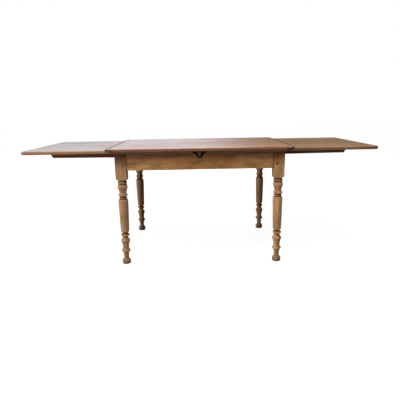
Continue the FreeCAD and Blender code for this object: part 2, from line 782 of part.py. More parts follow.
def bearer(label, side, row, bearer_row):
    """Make a bearer: flat under its leaf, with a sloping tail that lifts the leaf."""
    piece = body(label)
    outer = "(leaf_start + bearer_reach)"
    pad(piece, outline(piece, "XZ_Plane", [
        ("tail_end", "bearer_low - tail_fall"),
        (outer + " - bearer_bevel", "bearer_low + (bearer_reach - bearer_bevel) * leaf_slope"),
        (outer, "leaf_low"),
        ("leaf_start", "leaf_low"),
        ("leaf_start", "leaf_low - bearer_drop"),
        ("tail_end", "leaf_low - bearer_drop - tail_fall"),
    ]), "bearer_thick")
    for x in screw_places():
        screw_hole(piece, x, "0", "bearer_low", "leaf_low")
    drill(piece, ("stop_peg_x", "0", "bearer_low - stop_peg_drop"),
          "stop_peg_radius + joint_gap", "bearer_height + 2 * stop_peg_drop", "z")
    place(piece, "0", "%d * %s" % (row, bearer_row), "0", 0 if side > 0 else 180)
    return piece


def leaf_screws(label, side, bearer_row):
    """Make the screws that hold both bearers of a leaf."""
    screws = []
    for row in ROWS.values():
        for x in screw_places():
            screws.append(screw("%s_%d" % (label, len(screws)), "%d * (%s)" % (side, x),
                                "%d * %s" % (row, bearer_row), "leaf_low"))
    return group(label, screws)


def stop_pegs(label, side, bearer_row):
    """Make the pegs that stop a leaf's bearers at the end apron."""
    low = "bearer_low - stop_peg_fall - stop_peg_drop"
    length = "bearer_height - bearer_drop + stop_peg_drop - joint_gap"
    return group(label, [
        rod("%s_%s" % (label, name), ("%d * stop_peg_x" % side, "%d * %s" % (row, bearer_row), low),
            "stop_peg_radius", length, "z")
        for name, row in ROWS.items()])


def build_frame():
    """Make the fixed frame."""
    turns = {(-1, -1): 0, (1, -1): 90, (1, 1): 180, (-1, 1): 270}
    for row_name, row in ROWS.items():
        for side_name, side in SIDES.items():
            corner = "%s_%s" % (row_name, side_name)
            leg("leg_" + corner, side, row, turns[side, row])
            corner_brace("corner_brace_" + corner, side, row, turns[side, row])
        long_apron("apron_" + row_name, row)
        centre_cleat("centre_cleat_" + row_name, row)
    for side_name, side in SIDES.items():
        short_apron("apron_" + side_name, side, "bearer_row_" + side_name)
    draw_pegs("draw_pegs")
    centre_board("centre_board")
    centre_screws("centre_screws")


def build_top():
    """Make the middle top that lifts."""
    for index in range(SIZES["top_board_count"][0]):
        top_board("top_board_%d" % (index + 1), index)
    for row_name, row in ROWS.items():
        edge_strip("edge_strip_" + row_name, row)
        locating_peg("locating_peg_" + row_name, row)
        guide_peg("guide_peg_" + row_name, row)


def build_leaf(name, side):
    """Make one leaf with its bearers, screws and stop pegs."""
    bearer_row = "bearer_row_" + name
    for index in range(SIZES["leaf_board_count"][0]):
        # boards are numbered from the front on both sides
        drawn = index if side > 0 else SIZES["leaf_board_count"][0] - 1 - index
        leaf_board("leaf_%s_board_%d" % (name, index + 1), side, drawn, bearer_row)
    leaf_end("leaf_%s_end" % name, side)
    for row_name, row in ROWS.items():
        bearer("leaf_%s_bearer_%s" % (name, row_name), side, row, bearer_row)
    leaf_screws("leaf_%s_screws" % name, side, bearer_row)
    stop_pegs("leaf_%s_stop_pegs" % name, side, bearer_row)


def check():
    """Stop if any object failed or any sub-part has no sound solid."""
    failed = [item.Label for item in doc.Objects if {"Invalid", "Error"} & set(item.State)]
    if failed:
        raise ValueError("failed objects: " + ", ".join(failed))
    for piece in parts:
        if piece.Shape.isNull() or not piece.Shape.isValid() or not piece.Shape.Solids:
            raise ValueError("bad shape: " + piece.Label)


build_frame()
build_top()
for side_name, side in SIDES.items():
    build_leaf(side_name, side)
doc.recompute()
check()
os.makedirs("parts", exist_ok=True)
for piece in parts:
    piece.Shape.exportStep("parts/%s.step" % piece.Label)
print("wrote %d sub-parts" % len(parts))
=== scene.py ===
"""Looks of an old extending farmhouse table: worn waxed pine on a plain white studio floor."""

from __future__ import annotations

import logging
import math
from dataclasses import dataclass, field, replace
from enum import Enum
from typing import Callable, ClassVar, Iterable, Sequence

import bmesh
import bpy
from bmesh.types import BMEdge, BMVert
from bpy.types import Node, NodeSocket
from mathutils import Matrix, Vector, noise

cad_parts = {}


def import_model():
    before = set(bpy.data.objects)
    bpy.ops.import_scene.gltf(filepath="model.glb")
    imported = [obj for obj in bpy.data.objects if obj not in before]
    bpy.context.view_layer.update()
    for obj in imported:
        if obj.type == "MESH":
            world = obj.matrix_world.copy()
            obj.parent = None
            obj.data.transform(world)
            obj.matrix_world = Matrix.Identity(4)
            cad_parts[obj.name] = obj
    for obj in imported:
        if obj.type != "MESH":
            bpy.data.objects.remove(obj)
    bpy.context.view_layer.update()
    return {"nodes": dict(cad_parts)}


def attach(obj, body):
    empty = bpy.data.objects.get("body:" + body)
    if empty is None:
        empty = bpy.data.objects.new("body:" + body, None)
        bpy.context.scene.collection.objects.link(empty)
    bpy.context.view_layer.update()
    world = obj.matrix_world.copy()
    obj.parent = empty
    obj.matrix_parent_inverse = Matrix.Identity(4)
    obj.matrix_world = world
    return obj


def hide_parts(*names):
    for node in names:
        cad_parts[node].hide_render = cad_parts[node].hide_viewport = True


log = logging.getLogger("farmhouse_table")

EdgeTest = Callable[[BMEdge], bool]
Colour = tuple[float, float, float]
Place = tuple[float, float, float]
Scale = tuple[float, float, float]
Span = tuple[float, float]
MM = 0.001
VECTOR = "NodeSocketVector"
FLOAT = "NodeSocketFloat"
COLOUR = "NodeSocketColor"
WORN_PREFIX = "worn_"
SEED_KEY = "wood_seed"
MIDDLE_KEY = "wood_middle"
REACH_KEY = "wood_reach"
TONE_AND_SHADE_KEY = "wood_tone"
# How many different seeds names can give, and what turns a seed into a tone.
SEED_COUNT = 97
TONE_FACTOR = 13.7


def paint(red: int, green: int, blue: int) -> Colour:
    """Turn a colour as a screen shows it, 0 to 255, into scene values.

    Args:
        red: the red part.
        green: the green part.
        blue: the blue part.

    Returns:
        The three linear values.
    """
    def linear(level: int) -> float:
        """Undo the screen's curve for one part of the colour."""
        share = level / 255
        return share / 12.92 if share <= 0.04045 else ((share + 0.055) / 1.055) ** 2.4
    return linear(red), linear(green), linear(blue)


class Grain(Enum):
    """The frame's axes in the order along the grain, across it and through the board."""

    ALONG_X = ("X", "Y", "Z")
    ALONG_Y = ("Y", "X", "Z")
    ALONG_Z = ("Z", "X", "Y")

    def index(self) -> int:
        """Give the number of the axis that the grain follows."""
        return "XYZ".index(self.value[0])


class Graph:
    """A node tree with short ways to add and link nodes."""

    def __init__(self, tree: bpy.types.NodeTree) -> None:
        """Wrap a tree.

        Args:
            tree: the tree to add nodes to.
        """
        self.tree = tree

    def add(self, kind: str, **values: object) -> Node:
        """Add a node and set its properties or its input sockets.

        Args:
            kind: the node's type.
            **values: a property by its name, or an input by its name with spaces as
                underscores; a socket as the value is linked to that input.

        Returns:
            The new node.
        """
        node = self.tree.nodes.new(kind)
        for name, value in values.items():
            if hasattr(node, name):
                setattr(node, name, value)
        for name, value in values.items():
            if not hasattr(node, name):
                self.feed(node, name.replace("_", " "), value)
        return node

    def give(self, socket: NodeSocket, value: object) -> None:
        """Give an input a socket to follow or a value of its own.

        Args:
            socket: the input.
            value: a socket, a number, a vector or a colour.
        """
        if isinstance(value, NodeSocket):
            self.tree.links.new(value, socket)
        elif socket.type == "RGBA":
            socket.default_value = (*value, 1.0)
        else:
            socket.default_value = value

    def feed(self, node: Node, name: str, value: object) -> None:
        """Give a node's input of this name a socket to follow or a value."""
        self.give(node.inputs[name], value)

    def math(self, operation: str, *terms: object) -> NodeSocket:
        """Add a maths node.

        Args:
            operation: the operation's name.
            *terms: sockets or numbers, in order.

        Returns:
            The result's socket.
        """
        node = self.add("ShaderNodeMath", operation=operation)
        for socket, term in zip(node.inputs, terms):
            self.give(socket, term)
        return node.outputs[0]

    def ramp(self, value: object, low: float, high: float) -> NodeSocket:
        """Turn a value into a smooth mask between 0 and 1.

        Args:
            value: the socket to read.
            low: the value that gives 0.
            high: the value that gives 1.

        Returns:
            The mask's socket.
        """
        node = self.add("ShaderNodeMapRange", interpolation_type="SMOOTHSTEP", clamp=True)
        for name, given in (("Value", value), ("From Min", low), ("From Max", high)):
            self.feed(node, name, given)
        return node.outputs["Result"]

    def mix(self, share: object, first: object, second: object) -> NodeSocket:
        """Mix two colours.

        Args:
            share: how much of the second, as a socket or a number.
            first: a colour or its socket.
            second: a colour or its socket.

        Returns:
            The colour's socket.
        """
        node = self.add("ShaderNodeMix", data_type="RGBA")
        # Sockets share their names here: 0 is the share, 6 and 7 are the colours, 2 is the mix.
        for index, value in ((0, share), (6, first), (7, second)):
            self.give(node.inputs[index], value)
        return node.outputs[2]

    def noise(self, place: NodeSocket, scale: float = 1.0, detail: float = 3.0,
              rough: float = 0.55) -> NodeSocket:
        """Add a noise that reads a place.

        Args:
            place: the place's socket.
            scale: how fine the noise is, per metre.
            detail: how many octaves it has.
            rough: how strong the finer octaves are.

        Returns:
            The noise's value, about 0.5 on average.
        """
        node = self.add("ShaderNodeTexNoise", Scale=scale, Detail=detail, Roughness=rough)
        self.tree.links.new(place, node.inputs["Vector"])
        return node.outputs["Fac"]

    def stretch(self, place: NodeSocket, scale: Scale) -> NodeSocket:
        """Scale a place differently along, across and through the grain.

        Args:
            place: the place's socket.
            scale: the factors along the grain, across it and through the board.

        Returns:
            The scaled place.
        """
        node = self.add("ShaderNodeVectorMath", operation="MULTIPLY")
        self.give(node.inputs[0], place)
        self.give(node.inputs[1], scale)
        return node.outputs[0]


def empty_graph(owner: bpy.types.Material | bpy.types.World) -> Graph:
    """Clear the nodes of a material or a world.

    Args:
        owner: the material or world.

    Returns:
        Its empty tree.
    """
    owner.use_nodes = True
    owner.node_tree.nodes.clear()
    return Graph(owner.node_tree)


@dataclass(frozen=True)
class Socket:
    """A named input or output of a shader group."""

    name: str
    kind: str
    default: object = None


def group(name: str, inputs: Sequence[Socket], outputs: Sequence[Socket],
          fill: Callable[[Graph, Node, Node], None]) -> bpy.types.NodeTree:
    """Build a shader group once.

    Args:
        name: the group's name.
        inputs: its inputs.
        outputs: its outputs.
        fill: adds the nodes between the group's input and output nodes.

    Returns:
        The group.
    """
    known = bpy.data.node_groups.get(name)
    if known:
        return known
    tree = bpy.data.node_groups.new(name, "ShaderNodeTree")
    for direction, sockets in (("INPUT", inputs), ("OUTPUT", outputs)):
        for item in sockets:
            made = tree.interface.new_socket(item.name, in_out=direction, socket_type=item.kind)
            if item.default is not None:
                made.default_value = item.default
    start = tree.nodes.new("NodeGroupInput")
    end = tree.nodes.new("NodeGroupOutput")
    fill(Graph(tree), start, end)
    return tree


@dataclass(frozen=True)
class GrainLook:
    """How pine grain is drawn: scales per metre, spans where a mask starts and is full."""

    seed_shift: Scale = (37.0, 11.0, 5.0)
    knot_scale: Scale = (2.8, 7.5, 3.0)
    knot_rarity: float = 0.62
    knot_sway: Span = (0.34, 0.0)
    knot_rim: Span = (0.17, 0.07)
    knot_heart: Span = (0.085, 0.045)
    rim_share: float = 0.55
    heart_share: float = 0.85
    bow_scale: Scale = (0.9, 1.8, 1.8)
    bow_size: float = 0.26
    lean_scale: Scale = (1.3, 0.9, 0.9)
    lean_size: float = 0.22
    ring_swell: float = 1.6
    ring_rise: Span = (0.30, 0.90)
    ring_fall: Span = (1.0, 0.93)
    fibre_scale: Scale = (7.0, 330.0, 330.0)
    fibre_span: Span = (0.45, 0.75)
    fibre_share: float = 0.28
    streak_scale: Scale = (1.3, 34.0, 34.0)
    streak_span: Span = (0.46, 0.74)
    streak_share: float = 0.50
    cloud_scale: Scale = (2.2, 8.0, 8.0)
    cloud_span: Span = (0.38, 0.62)
    stain_scale: Scale = (8.0, 24.0, 24.0)
    stain_span: Span = (0.47, 0.66)
    tone_share: float = 0.40
    ring_relief: float = 0.30
    fibre_relief: float = 0.50
    stain_relief: float = 0.45
    knot_relief: float = 0.4


@dataclass(frozen=True)
class WearAndShadeLook:
    """How wear, dirt and painted shade are drawn: heights in metres, scales per metre."""

    edge_samples: int = 6
    patch_scale: float = 38.0
    edge_turn: Span = (0.004, 0.10)
    edge_patches: Span = (0.34, 0.58)
    end_span: Span = (1.20, 0.65)
    hollow_samples: int = 8
    hollow_span: Span = (0.97, 0.62)
    hollow_patches: Span = (0.10, 0.50)
    level_scale: float = 9.0
    level_sway: float = 0.09
    # Heights over which painted shade grows towards the top, and scuffs grow towards the floor.
    under_top: Span = (0.626, 0.716)
    at_floor: Span = (0.075, 0.025)
    side_span: Span = (0.80, 0.45)
    under_span: Span = (-0.45, -0.80)
    pin_facing: Span = (0.6, 0.9)
    pin_ring: Span = (0.0115, 0.0065)


GRAIN_LOOK = GrainLook()
WEAR_AND_SHADE_LOOK = WearAndShadeLook()


def fill_grain(graph: Graph, start: Node, end: Node) -> None:
    """Draw old pine: growth rings round a heart line, fibres, streaks, knots and stains.

    Args:
        graph: the group's tree.
        start: the group's input node.
        end: the group's output node.
    """
    look = GRAIN_LOOK
    links = graph.tree.links
    shift = graph.add("ShaderNodeCombineXYZ")
    for socket, factor in zip(shift.inputs, look.seed_shift):
        links.new(graph.math("MULTIPLY", start.outputs["Seed"], factor), socket)
    moved = graph.add("ShaderNodeVectorMath", operation="ADD")
    links.new(start.outputs["Place"], moved.inputs[0])
    links.new(shift.outputs[0], moved.inputs[1])
    spot = moved.outputs[0]

    knots = graph.add("ShaderNodeTexVoronoi", feature="F1", Scale=1.0, Randomness=1.0)
    links.new(graph.stretch(spot, look.knot_scale), knots.inputs["Vector"])
    rare = graph.math("GREATER_THAN", graph.add(
        "ShaderNodeSeparateColor", Color=knots.outputs["Color"]).outputs["Red"],
        look.knot_rarity)
    near, rim, heart = (
        graph.math("MULTIPLY", graph.ramp(knots.outputs["Distance"], *span), rare)
        for span in (look.knot_sway, look.knot_rim, look.knot_heart))

    local = graph.add("ShaderNodeSeparateXYZ", Vector=start.outputs["Place"])
    bow = graph.noise(graph.stretch(spot, look.bow_scale), detail=2.0)
    lean = graph.noise(graph.stretch(spot, look.lean_scale), detail=2.0)
    side = graph.math("MULTIPLY_ADD", bow, look.bow_size,
                      graph.math("SUBTRACT", local.outputs["Y"], look.bow_size / 2))
    middle = graph.math("SUBTRACT", start.outputs["Heart depth"], look.lean_size / 2)
    deep = graph.math("MULTIPLY_ADD", lean, look.lean_size,
                      graph.math("ADD", local.outputs["Z"], middle))
    radius = graph.math("SQRT", graph.math(
        "ADD", graph.math("MULTIPLY", side, side), graph.math("MULTIPLY", deep, deep)))
    phase = graph.math("MULTIPLY", radius, start.outputs["Ring density"])
    phase = graph.math("ADD", phase, graph.math("MULTIPLY", near, look.ring_swell))
    rings = graph.math("FRACT", phase)
    band = graph.math("MULTIPLY", graph.ramp(rings, *look.ring_rise),
                      graph.ramp(rings, *look.ring_fall))

    fibre = graph.noise(graph.stretch(spot, look.fibre_scale), rough=0.65)
    streak = graph.noise(graph.stretch(spot, look.streak_scale), detail=4.0, rough=0.6)
    cloud = graph.noise(graph.stretch(spot, look.cloud_scale), detail=5.0, rough=0.62)
    stain = graph.noise(graph.stretch(spot, look.stain_scale), detail=5.0, rough=0.66)

    base = graph.mix(graph.ramp(cloud, *look.cloud_span),
                     start.outputs["Light"], start.outputs["Middle"])
    # A piece's darkness: random for most pieces, and on the back left leg also painted shade.
    for mask, share, tint in (
            (start.outputs["Tone"], look.tone_share, "Dark"),
            (graph.ramp(streak, *look.streak_span), look.streak_share, "Dark"),
            (band, start.outputs["Ring share"], "Dark"),
            (graph.ramp(fibre, *look.fibre_span), look.fibre_share, "Dark"),
            (graph.ramp(stain, *look.stain_span), start.outputs["Stain share"], "Knot"),
            (rim, look.rim_share, "Dark"),
            (heart, look.heart_share, "Knot")):
        base = graph.mix(graph.math("MULTIPLY", mask, share), base, start.outputs[tint])
    links.new(base, end.inputs["Colour"])

    relief = graph.math("MULTIPLY_ADD", band, look.ring_relief,
                        graph.math("MULTIPLY", fibre, look.fibre_relief))
    relief = graph.math("MULTIPLY_ADD", stain, look.stain_relief, relief)
    relief = graph.math("SUBTRACT", relief, graph.math("MULTIPLY", heart, look.knot_relief))
    links.new(relief, end.inputs["Relief"])
    gloss = graph.math("MULTIPLY_ADD", cloud, 0.5, graph.math("MULTIPLY", stain, 0.5))
    links.new(gloss, end.inputs["Sheen mask"])


def fill_wear_and_shade(graph: Graph, start: Node, end: Node) -> None:
    """Find worn edges, which are also painted highlights on ridges, a band along each end,
    painted shade in hollows and corners, and the levels near the top, painted as shade, and near
    the floor.

    Args:
        graph: the group's tree.
        start: the group's input node.
        end: the group's output node.
    """
    look = WEAR_AND_SHADE_LOOK
    links = graph.tree.links
    plain = graph.add("ShaderNodeNewGeometry").outputs["Normal"]
    soft = graph.add("ShaderNodeBevel", samples=look.edge_samples)
    links.new(start.outputs["Edge width"], soft.inputs["Radius"])
    turn = graph.add("ShaderNodeVectorMath", operation="DOT_PRODUCT")
    links.new(plain, turn.inputs[0])
    links.new(soft.outputs["Normal"], turn.inputs[1])
    patchy = graph.noise(start.outputs["Place"], look.patch_scale, detail=4.0)
    # Lighter worn edges; on the legs' turned ridges they are also painted highlights.
    edge = graph.ramp(graph.math("SUBTRACT", 1.0, turn.outputs["Value"]), *look.edge_turn)
    edge = graph.math("MULTIPLY", edge, graph.ramp(patchy, *look.edge_patches))
    links.new(edge, end.inputs["Edge"])

    # A darker band along each end of a piece, as wide as its end width.
    along = graph.add("ShaderNodeSeparateXYZ", Vector=start.outputs["Place"]).outputs["X"]
    short = graph.math("SUBTRACT", start.outputs["Reach"], graph.math("ABSOLUTE", along))
    share = graph.math("DIVIDE", short, start.outputs["End width"])
    links.new(graph.ramp(share, *look.end_span), end.inputs["End grain"])

    # Painted shade: ambient occlusion darkens grooves, hollows and the corners between parts,
    # over the old wax in the turned grooves.
    shade = graph.add("ShaderNodeAmbientOcclusion", samples=look.hollow_samples)
    links.new(start.outputs["Hollow reach"], shade.inputs["Distance"])
    dirt = graph.ramp(shade.outputs["AO"], *look.hollow_span)
    links.new(graph.math("MULTIPLY", dirt, graph.ramp(patchy, *look.hollow_patches)),
              end.inputs["Hollow"])

    uneven = graph.noise(start.outputs["Place"], look.level_scale)
    height = graph.math("MULTIPLY_ADD", graph.math("SUBTRACT", uneven, 0.5),
                        look.level_sway, start.outputs["Height"])
    # Painted shade: darker towards the top of the aprons and the legs' heads, as if shaded by
    # the overhanging top.
    links.new(graph.ramp(height, *look.under_top), end.inputs["Under the top"])
    links.new(graph.ramp(height, *look.at_floor), end.inputs["At the floor"])


def fill_facing(graph: Graph, start: Node, end: Node) -> None:
    """Tell a board's sides and its underside from its top.

    Args:
        graph: the group's tree.
        start: the group's input node; not used.
        end: the group's output node.
    """
    normal = graph.add("ShaderNodeNewGeometry").outputs["Normal"]
    rise = graph.add("ShaderNodeSeparateXYZ", Vector=normal).outputs["Z"]
    graph.tree.links.new(graph.ramp(graph.math("ABSOLUTE", rise), *WEAR_AND_SHADE_LOOK.side_span),
                         end.inputs["Side"])
    graph.tree.links.new(graph.ramp(rise, *WEAR_AND_SHADE_LOOK.under_span), end.inputs["Under"])


def fill_pins(graph: Graph, start: Node, end: Node) -> None:
    """Find the dark ring that old wax leaves round the pegs in a leg's head.

    Args:
        graph: the group's tree.
        start: the group's input node.
        end: the group's output node.
    """
    def term(socket: NodeSocket, value: str) -> NodeSocket:
        """Square how far a place is from one of the group's own distances."""
        off = graph.math("SUBTRACT", graph.math("ABSOLUTE", socket), start.outputs[value])
        return graph.math("MULTIPLY", off, off)

    place = graph.add("ShaderNodeSeparateXYZ", Vector=start.outputs["Where"])
    normal = graph.add("ShaderNodeSeparateXYZ",
                       Vector=graph.add("ShaderNodeNewGeometry").outputs["Normal"])
    level = graph.math("SUBTRACT", place.outputs["Z"], start.outputs["Middle height"])
    upright = term(level, "Half spacing")
    total: object = 0.0
    for axis, facing, value in (("X", "Y", "From middle X"), ("Y", "X", "From middle Y")):
        away = graph.math("SQRT", graph.math("ADD", term(place.outputs[axis], value), upright))
        outer = graph.ramp(graph.math("ABSOLUTE", normal.outputs[facing]),
                           *WEAR_AND_SHADE_LOOK.pin_facing)
        ring = graph.ramp(away, *WEAR_AND_SHADE_LOOK.pin_ring)
        total = graph.math("ADD", total, graph.math("MULTIPLY", outer, ring))
    graph.tree.links.new(total, end.inputs["Stain"])


def grain_group() -> bpy.types.NodeTree:
    """Give the shader group that draws pine grain.

    Returns:
        The group.
    """
    return group("Pine grain", [
        Socket("Place", VECTOR),
        Socket("Seed", FLOAT),
        Socket("Tone", FLOAT),
        Socket("Ring density", FLOAT),
        Socket("Ring share", FLOAT),
        Socket("Heart depth", FLOAT),
        Socket("Stain share", FLOAT),
        Socket("Light", COLOUR),
        Socket("Middle", COLOUR),
        Socket("Dark", COLOUR),
        Socket("Knot", COLOUR),
    ], [
        Socket("Colour", COLOUR),
        Socket("Relief", FLOAT),
        Socket("Sheen mask", FLOAT),
    ], fill_grain)


def wear_and_shade_group() -> bpy.types.NodeTree:
    """Give the shader group that finds worn edges, a band along the ends, and painted shade in
    hollows, corners and under the top.

    Returns:
        The group.
    """
    # The group also paints shade in hollows and under the top.
    return group("Wear", [
        Socket("Place", VECTOR),
        Socket("Reach", FLOAT),
        Socket("End width", FLOAT),
        Socket("Edge width", FLOAT),
        Socket("Hollow reach", FLOAT),
        Socket("Height", FLOAT),
    ], [
        Socket("Edge", FLOAT),
        Socket("End grain", FLOAT),
        Socket("Hollow", FLOAT),
        Socket("Under the top", FLOAT),
        Socket("At the floor", FLOAT),
    ], fill_wear_and_shade)


def facing_group() -> bpy.types.NodeTree:
    """Give the shader group that tells sides and undersides.

    Returns:
        The group.
    """
    return group("Facing", [], [
        Socket("Side", FLOAT),
        Socket("Under", FLOAT),
    ], fill_facing)


def pins_group() -> bpy.types.NodeTree:
    """Give the shader group that stains the wood round the pegs of the legs.

    Returns:
        The group.
    """
    return group("Peg stain", [
        Socket("Where", VECTOR),
        Socket("From middle X", FLOAT, 484 * MM),
        Socket("From middle Y", FLOAT, 377 * MM),
        Socket("Middle height", FLOAT, 678.5 * MM),
        Socket("Half spacing", FLOAT, 24.5 * MM),
    ], [
        Socket("Stain", FLOAT),
    ], fill_pins)


@dataclass(frozen=True)
class WoodFinish:
    """A waxed wood surface."""

    name: str
    slot: str
    light: Colour
    middle: Colour
    dark: Colour
    knot: Colour
    # Worn bare wood at the edges, also a painted highlight on the turned ridges of the legs.
    worn: Colour
    # Old wax and painted shade: the colour in hollows and corners, also used for the band along
    # the ends.
    grime: Colour
    side: Colour
    under: Colour
    smooth: float
    rough: float
    # Painted shade: the colour towards the top of a piece, under the overhanging top.
    patina: Colour = paint(84, 50, 24)
    scuff: Colour = paint(124, 102, 82)
    specular: float = 0.5
    ring_density: float = 240.0
    ring_share: float = 0.30
    heart_depth: float = 60 * MM
    stain_share: float = 0.30
    edge_width: float = 4 * MM
    hollow_reach: float = 14 * MM
    edge_share: float = 0.55
    end_share: float = 0.0
    end_width: float = 14 * MM
    end_fade: float = 0.0
    grime_share: float = 0.8
    patina_share: float = 0.0
    scuff_share: float = 0.0
    side_share: float = 0.0
    under_share: float = 0.0
    pin_share: float = 0.0
    relief: float = 0.25
    relief_depth: float = 0.4 * MM
    sheen_span: Span = (0.35, 0.65)
    dull: float = 0.95

    def material(self, grain: Grain) -> bpy.types.Material:
        """Build or find this finish for one direction of the grain.

        Args:
            grain: which way the grain runs.

        Returns:
            The material.
        """
        name = "%s %s" % (self.name, grain.name.lower())
        known = bpy.data.materials.get(name)
        if known:
            return known
        made = bpy.data.materials.new(name)
        graph = empty_graph(made)
        place = self.place(graph, grain)
        wood = graph.add("ShaderNodeGroup", node_tree=grain_group())
        for name, value in (
                ("Place", place), ("Seed", self.own_value(graph, SEED_KEY, "Fac")),
                ("Tone", self.own_value(graph, TONE_AND_SHADE_KEY, "Fac")),
                ("Ring density", self.ring_density), ("Ring share", self.ring_share),
                ("Heart depth", self.heart_depth), ("Stain share", self.stain_share),
                ("Light", self.light), ("Middle", self.middle),
                ("Dark", self.dark), ("Knot", self.knot)):
            graph.feed(wood, name, value)
        wear = graph.add("ShaderNodeGroup", node_tree=wear_and_shade_group())
        for name, value in (
                ("Place", place), ("Reach", self.own_value(graph, REACH_KEY, "Fac")),
                ("End width", self.end_width), ("Edge width", self.edge_width),
                ("Hollow reach", self.hollow_reach), ("Height", self.height(graph))):
            graph.feed(wear, name, value)
        facing = graph.add("ShaderNodeGroup", node_tree=facing_group())
        flat = graph.math("MULTIPLY_ADD", facing.outputs["Side"], -self.end_fade, 1.0)
        ends = graph.math("MULTIPLY", wear.outputs["End grain"], flat)
        pins = graph.add("ShaderNodeGroup", node_tree=pins_group())
        graph.feed(pins, "Where", graph.add("ShaderNodeTexCoord").outputs["Object"])
        colour = wood.outputs["Colour"]
        for mask, share, tint in (
                (facing.outputs["Side"], self.side_share, self.side),
                (facing.outputs["Under"], self.under_share, self.under),
                # Worn edges, partly painted highlights on the legs' ridges.
                (wear.outputs["Edge"], self.edge_share, self.worn),
                (pins.outputs["Stain"], self.pin_share, self.knot),
                # A darker band along each end of a piece.
                (ends, self.end_share, self.grime),
                # Painted shade under the overhanging top.
                (wear.outputs["Under the top"], self.patina_share, self.patina),
                (wear.outputs["At the floor"], self.scuff_share, self.scuff),
                # Painted shade in hollows and corners, over old wax in the grooves.
                (wear.outputs["Hollow"], self.grime_share, self.grime)):
            if share:
                colour = graph.mix(graph.math("MULTIPLY", mask, share), colour, tint)
        rough = graph.add("ShaderNodeMapRange")
        for name, value in (
                ("Value", wood.outputs["Sheen mask"]), ("From Min", self.sheen_span[0]),
                ("From Max", self.sheen_span[1]), ("To Min", self.smooth),
                ("To Max", self.rough)):
            graph.feed(rough, name, value)
        matt = graph.math("MAXIMUM", wear.outputs["Hollow"],
                          graph.math("MULTIPLY", ends, self.end_share))
        matt = graph.math("MAXIMUM", matt,
                          graph.math("MULTIPLY", facing.outputs["Under"], self.under_share))
        dull = graph.add("ShaderNodeMapRange")
        for name, value in (("Value", matt), ("To Min", rough.outputs["Result"]),
                            ("To Max", self.dull)):
            graph.feed(dull, name, value)
        bump = graph.add("ShaderNodeBump", Strength=self.relief, Distance=self.relief_depth)
        graph.feed(bump, "Height", wood.outputs["Relief"])
        shader = graph.add("ShaderNodeBsdfPrincipled")
        graph.feed(shader, "Base Color", colour)
        graph.feed(shader, "Roughness", dull.outputs["Result"])
        graph.feed(shader, "Normal", bump.outputs["Normal"])
        shader.inputs["Specular IOR Level"].default_value = self.specular
        output = graph.add("ShaderNodeOutputMaterial")
        graph.feed(output, "Surface", shader.outputs[0])
        return made

    @staticmethod
    def height(graph: Graph) -> NodeSocket:
        """Measure the height above the floor of a piece that never leaves its level."""
        where = graph.add("ShaderNodeTexCoord").outputs["Object"]
        return graph.add("ShaderNodeSeparateXYZ", Vector=where).outputs["Z"]

    def place(self, graph: Graph, grain: Grain) -> NodeSocket:
        """Measure from the middle of the piece, along, across and through the board.

        Args:
            graph: the material's tree.
            grain: which way the grain runs.

        Returns:
            The place in metres.
        """
        where = graph.add("ShaderNodeVectorMath", operation="SUBTRACT")
        graph.tree.links.new(graph.add("ShaderNodeTexCoord").outputs["Object"], where.inputs[0])
        graph.tree.links.new(self.own_value(graph, MIDDLE_KEY, "Vector"), where.inputs[1])
        apart = graph.add("ShaderNodeSeparateXYZ", Vector=where.outputs["Vector"])
        place = graph.add("ShaderNodeCombineXYZ")
        for socket, axis in zip(place.inputs, grain.value):
            graph.tree.links.new(apart.outputs[axis], socket)
        return place.outputs[0]

    @staticmethod
    def own_value(graph: Graph, key: str, output: str) -> NodeSocket:
        """Read a value that each piece keeps for itself.

        Args:
            graph: the material's tree.
            key: the value's name.
            output: which output to read.

        Returns:
            The value's socket.
        """
        node = graph.add("ShaderNodeAttribute", attribute_type="OBJECT", attribute_name=key)
        return node.outputs[output]


@dataclass(frozen=True)
class SteelFinish:
    """Dull zinc on screws, browned in spots."""

    name: str = "Dull screw steel"
    slot: str = "steel"
    clean: Colour = paint(150, 146, 140)
    stained: Colour = paint(92, 74, 58)
    spot_scale: float = 420.0
    spot_span: Span = (0.45, 0.7)
    smooth: float = 0.3
    uneven: float = 0.35

    def material(self, grain: Grain) -> bpy.types.Material:
        """Build or find the finish.

        Args:
            grain: not used; screws have no grain.

        Returns:
            The material.
        """
        known = bpy.data.materials.get(self.name)
        if known:
            return known
        made = bpy.data.materials.new(self.name)
        graph = empty_graph(made)
        where = graph.add("ShaderNodeTexCoord")
        spots = graph.noise(where.outputs["Object"], self.spot_scale, detail=4.0)
        colour = graph.mix(graph.ramp(spots, *self.spot_span), self.clean, self.stained)
        rough = graph.math("ADD", self.smooth, graph.math("MULTIPLY", spots, self.uneven))
        shader = graph.add("ShaderNodeBsdfPrincipled", Metallic=1.0)
        graph.feed(shader, "Base Color", colour)
        graph.feed(shader, "Roughness", rough)
        output = graph.add("ShaderNodeOutputMaterial")
        graph.feed(output, "Surface", shader.outputs[0])
        return made


